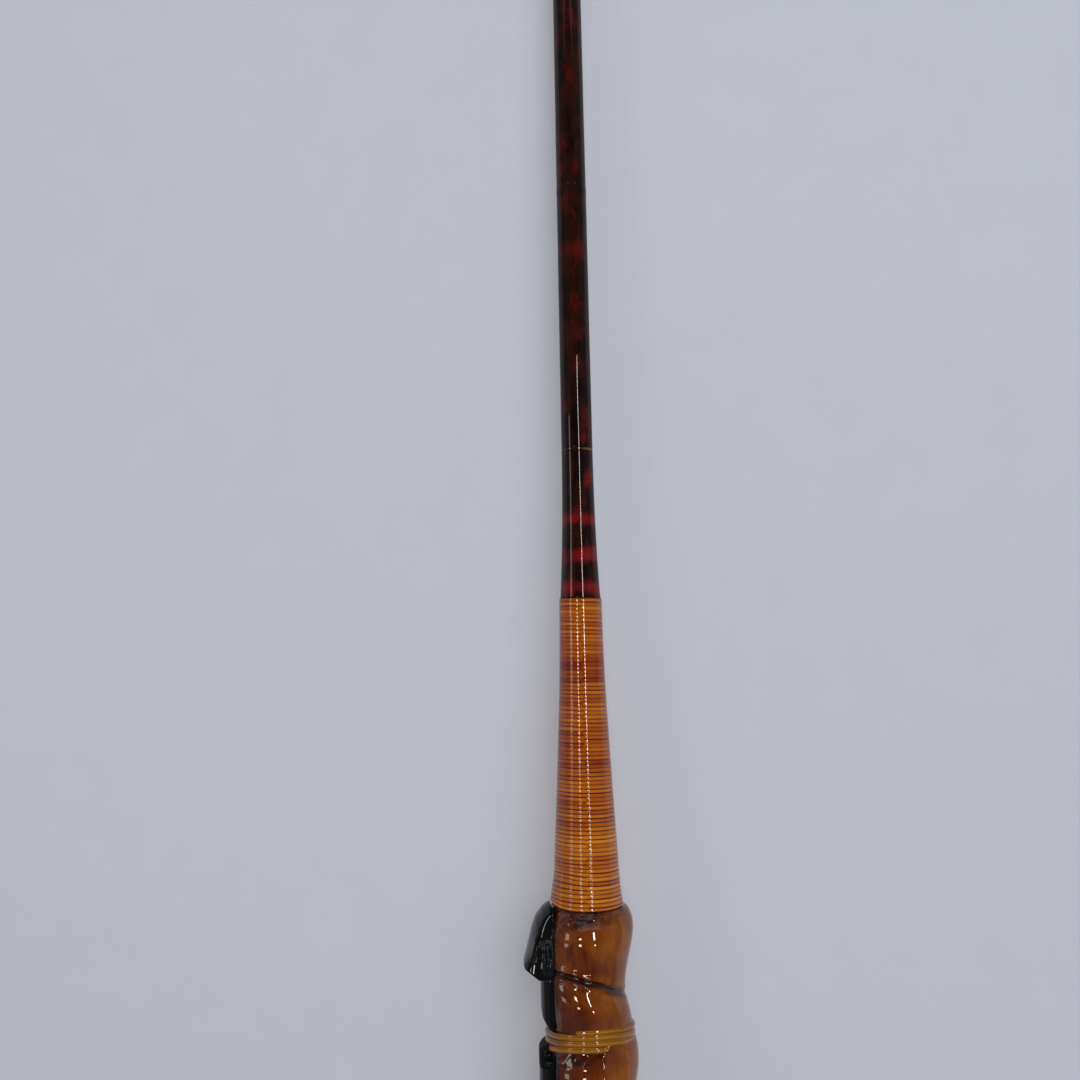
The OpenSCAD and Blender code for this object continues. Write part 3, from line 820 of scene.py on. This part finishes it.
def carve_front_hood(p, n):
    """Crowned back, and on both side walls a framed window and an arched flute."""
    height, out, side = -p.x, -p.y, abs(p.z)
    if side > 4 and n.z * p.z > 0.2 * side:
        rim = HOOD_BACK(height) - out
        round_over = -1.6 * ease(1 - rim / 3.2) ** 1.5
        slant = out - WINDOW_OUT + 0.16 * (height - 188)
        window = plateau(slant, 1.2, 0.6) * plateau(height - WINDOW_Z + 0.8 * slant, 3.9, 0.7)
        axis = FLUTE_OUT - 0.1 * max(0.0, FLUTE_TOP - height)
        reach = math.hypot(out - axis, max(0.0, height - FLUTE_TOP))
        arch = 0.85 * bell(reach - 1.7, 0.8) - 0.8 * ease((1.2 - reach) / 0.8)
        arch *= ease((height - 181) / 3)
        p = p + Vector((0, 0, math.copysign(round_over + arch - 0.75 * window, p.z)))
    # The mouth slants back towards its outer lip
    outward = max(0.0, out - HOOD_FLOOR) / (HOOD_LIP - HOOD_FLOOR)
    p = p - Vector((3.1 * outward * max(0.0, 1 - (height - HOOD_MOUTH) / 9), 0, 0))
    return crown(p, 182, 12.2, 9.6, 0.17 * ease((height - 181) / 8))


def crown_rear_hood(p, _):
    return crown(p, math.inf, 13, 9.9, 0.06)


def make_fillets():
    """Beads of lacquer that close the edge where the seat's fixed pieces meet the root."""
    bead_r = 0.95
    out = 12.0
    for name, low, high in (("front", 164, 201.5), ("rear", 142, 157.5)):
        for side in (-1, 1):
            rings = []
            for h in steps(low, high, 0.5):
                end = min(h - low, high - h)
                size = bead_r * math.sqrt(min(1.0, end / 1.2 + 0.05))
                # The beads draw in where the hood narrows
                half = 8.3 - 2.2 * ease((h - 195) / 7)
                ring = []
                for c in range(0, 360, 24):
                    turn = math.radians(c)
                    ring.append(Vector((-h, -out + size * math.sin(turn),
                                        side * (half - 0.25 + size * math.cos(turn)))) * MM)
                rings.append(ring)
            where = "upper" if side > 0 else "under"
            bead = rings_object(f"{name}_fillet_{where}", rings, loop=False)
            dress(bead, FILLER)


def make_heel():
    """The rail block's front end, whose lip reaches over the front band's lower edge."""
    low, high = 151.5, 158.9
    base = 11.9
    rings = []
    for h in steps(low, high, 0.25):
        out = mix(17.5, 14.6, ease((h - 155.4) / 3.5) ** 1.3)
        half_z = mix(8.35, 5.8, ease((h - 152.6) / 2.4))
        half_y = (out - base) / 2
        ring = []
        for c in range(0, 360, 12):
            u, v = math.cos(math.radians(c)), math.sin(math.radians(c))
            ring.append(Vector((-h, -base - half_y * (1 + math.copysign(abs(v) ** 0.6, v)),
                                half_z * math.copysign(abs(u) ** 0.6, u))) * MM)
        rings.append(ring)
    heel = rings_object("rail_heel", rings, loop=False)
    dress(heel, FILLER)


def make_seat():
    softened("front_hood_carved", "front_hood", STICK, 0.17, 6, carve_front_hood)
    softened("front_pad_lacquered", "front_pad", STICK, 0.22, 5)
    softened("rear_rail_lacquered", "rear_rail", STICK, 0.22, 3)
    softened("rear_hood_lacquered", "rear_hood", HOOD, 0.2, 3, crown_rear_hood)
    make_fillets()
    make_heel()
    softened("butt_cap_lacquered", "butt_cap", STICK, 0.35, 3)


def dress_cad_nodes():
    """Materials and crisp edges for the CAD nodes that stay as they are."""
    for node, material in {"mouth_whipping": WHIPPING, "seam_ring": THREAD, "core_dowel": RAW,
                           "hood_pegs": RAW, "rail_screws": BRASS}.items():
        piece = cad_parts[node]
        for index in range(len(piece.material_slots)):
            piece.material_slots[index].material = material
        edge = piece.modifiers.new("edge", "EDGE_SPLIT")
        edge.split_angle = math.radians(35)


# --- Camera --------------------------------------------------------------------------------------

SENSOR = 36
LENS = 36.9


def make_camera():
    """Nearly straight down on the stick, a little from the butt's side."""
    tilt = math.radians(5.4)
    roll = math.radians(1.11)
    distance = 0.391
    target = Vector((-0.328, -0.0138, 0))
    ahead = Vector((-math.sin(tilt), 0, -math.cos(tilt)))
    down = Vector((math.cos(tilt), 0, -math.sin(tilt)))
    side = Vector((0, 1, 0))
    image_up = -down * math.cos(roll) + side * math.sin(roll)
    image_right = side * math.cos(roll) + down * math.sin(roll)
    data = bpy.data.cameras.new("camera")
    data.sensor_width = SENSOR
    data.lens = LENS
    data.clip_start = 0.01
    camera = bpy.data.objects.new("camera", data)
    scene.collection.objects.link(camera)
    turn = Matrix((image_right, image_up, -ahead)).transposed()
    camera.matrix_world = Matrix.Translation(target - ahead * distance) @ turn.to_4x4()
    scene.camera = camera


# --- Light and floor -----------------------------------------------------------------------------

def strip_light(name, start, end, width, power, colour, shadow):
    """A long soft lamp between two points, facing the stick."""
    start, end = Vector(start), Vector(end)
    middle = (start + end) / 2
    run = (end - start).normalized()
    back = middle - Vector((-0.3, 0, 0))
    back = (back - run * back.dot(run)).normalized()
    data = bpy.data.lights.new(name, "AREA")
    data.shape = "RECTANGLE"
    data.size = (end - start).length
    data.size_y = width
    data.energy = power
    data.color = colour
    data.use_shadow = shadow
    lamp = bpy.data.objects.new(name, data)
    lamp.visible_camera = False
    scene.collection.objects.link(lamp)
    turn = Matrix((run, back.cross(run), back)).transposed().to_4x4()
    lamp.matrix_world = Matrix.Translation(middle) @ turn
    return lamp


LAMP_DISTANCE = 1.2
WHITE = (1, 0.97, 0.95)
WARM = (1, 0.92, 0.76)
CREAM = (1, 0.95, 0.9)
PALE_BLUE = (0.9, 0.95, 1)
DAYLIGHT = (0.93, 0.96, 1)
SKY = (0.85, 0.91, 1, 1)


def overhead(x, azimuth):
    """A place on an arch over the stick. Azimuth 0 is straight up, 90 is towards +Y."""
    a = math.radians(azimuth)
    return (x, LAMP_DISTANCE * math.sin(a), LAMP_DISTANCE * math.cos(a))


def make_lights():
    """Long strips for the shine, a soft fill, and a sky that is dark overhead and pale lower down."""
    # The gap in each strip keeps the shine on the handle's swellings short
    butt_end = 0.13
    for name, start, end, width, power, colour, shadow in (
            ("key", (-0.716, 12), (-0.27, 14.5), 0.06, 3.0, WHITE, False),
            ("key_low", (0.0, 15.5), (butt_end, 16), 0.06, 0.85, WHITE, False),
            ("left", (-0.37, -21), (-0.25, -21), 0.12, 1.25, WARM, False),
            ("left_low", (0.02, -21), (butt_end, -21), 0.12, 0.85, WARM, False),
            ("window", (-0.62, -57), (-0.25, -57), 0.2, 0.92, CREAM, True),
            ("window_low", (-0.04, -57), (butt_end, -57), 0.25, 0.45, CREAM, True)):
        strip_light(name, overhead(*start), overhead(*end), width, power, colour, shadow)
    strip_light("tip_window", (-1.45, -0.8, 1), (-1.45, 0.8, 1), 0.5, 1.6, PALE_BLUE, False)
    fill = strip_light("fill", (-2.1, 0.6, 1.5), (0.1, 0.6, 1.5), 2, 17.8, DAYLIGHT, True)
    fill.visible_glossy = False
    world = bpy.data.worlds.new("world")
    scene.world = world
    world.use_nodes = True
    nodes, links = world.node_tree.nodes, world.node_tree.links
    direction = nodes.new("ShaderNodeTexCoord").outputs["Generated"]
    split = nodes.new("ShaderNodeSeparateXYZ")
    links.new(direction, split.inputs[0])
    fade = nodes.new("ShaderNodeMapRange")
    fade.interpolation_type = "SMOOTHSTEP"
    for key, value in {"From Min": 0.55, "From Max": 0.97, "To Min": 0.2, "To Max": 0.03}.items():
        fade.inputs[key].default_value = value
    links.new(split.outputs["Z"], fade.inputs["Value"])
    background = nodes["Background"]
    background.inputs["Color"].default_value = SKY
    links.new(fade.outputs["Result"], background.inputs["Strength"])


def make_floor():
    """A pale sheet that the handle and the tip both rest on."""
    handle_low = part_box("handle")[0].z
    tip_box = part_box("mouth_whipping")
    handle_x = -0.1
    gap = 0.0006
    tip_x = tip_box[0].x
    slope = (tip_box[0].z - handle_low) / (tip_x - handle_x)
    half = 3
    corners = [(x, y, handle_low - gap + slope * (x - handle_x)) for x, y in
               ((-half, -half), (half, -half), (half, half), (-half, half))]
    mesh = bpy.data.meshes.new("floor")
    mesh.from_pydata(corners, [], [(0, 1, 2, 3)])
    floor = bpy.data.objects.new("floor", mesh)
    scene.collection.objects.link(floor)
    p = Paint("floor_paper")
    paper = p.noise(60, (1, 1, 1), 4)
    colour = p.blend(paper, (0.548, 0.567, 0.638), (0.572, 0.591, 0.662))
    mesh.materials.append(p.finish(colour, 0.7, p.bump(p.noise(900), 0.05, 0.0002), coat=0.0))


make_camera()
make_shaft()
make_sleeve()
make_winding()
make_handle()
make_band("front_band_strand", "front_band", FRONT_BAND, BAND_BOW, -24, 21)
make_band("rear_band_strand", "rear_band", REAR_BAND, 0, 120, 34)
make_seat()
dress_cad_nodes()
make_lights()
make_floor()
scene.view_settings.view_transform = "Standard"
